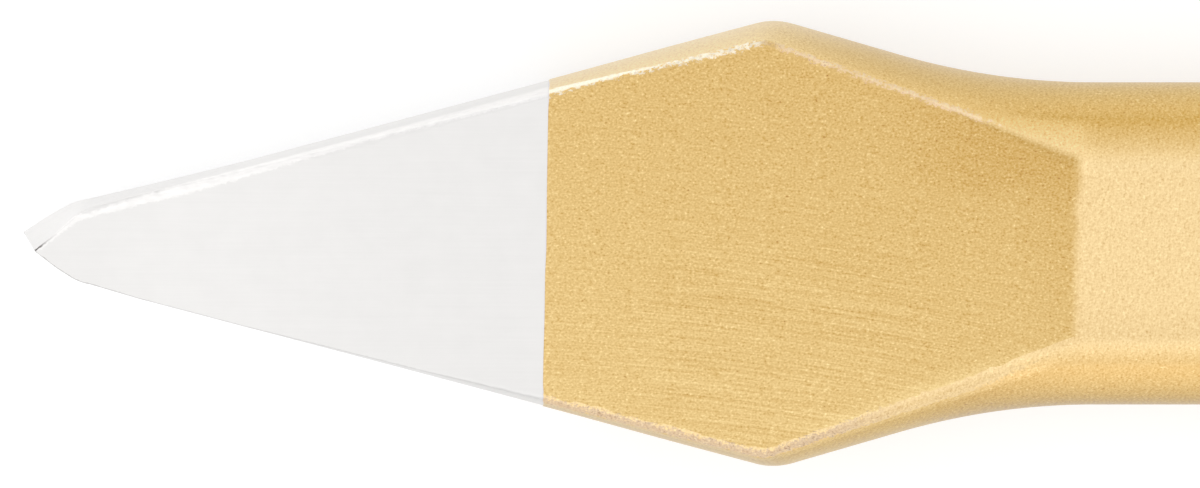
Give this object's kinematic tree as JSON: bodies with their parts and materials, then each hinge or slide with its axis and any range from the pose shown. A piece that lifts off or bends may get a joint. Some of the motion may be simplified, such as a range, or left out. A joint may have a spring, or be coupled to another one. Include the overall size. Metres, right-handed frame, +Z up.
{
  "type": "cross cut chisel",
  "caption": "Cross cut chisel: a flat-oval steel bar forged to a wide head that tapers to a narrow cutting edge, gold-lacquered behind the bright ground blade.",
  "frame": {"origin": "on the surface that the chisel lies on, under the middle of its length and width", "axes": "+X along the axis from the cutting edge to the struck face, +Z up, square to the broad faces"},
  "size_m": [0.2, 0.0278, 0.0122],
  "materials": {
    "ground_steel": "bright ground, fine grinding lines along the blade",
    "gold_lacquer": "satin gold metallic lacquer with a fine flake, grinding lines showing through on the broad faces"
  },
  "bodies": {
    "root": {"forged_steel": "ground_steel", "lacquer_film": "gold_lacquer"}
  },
  "joints": []
}
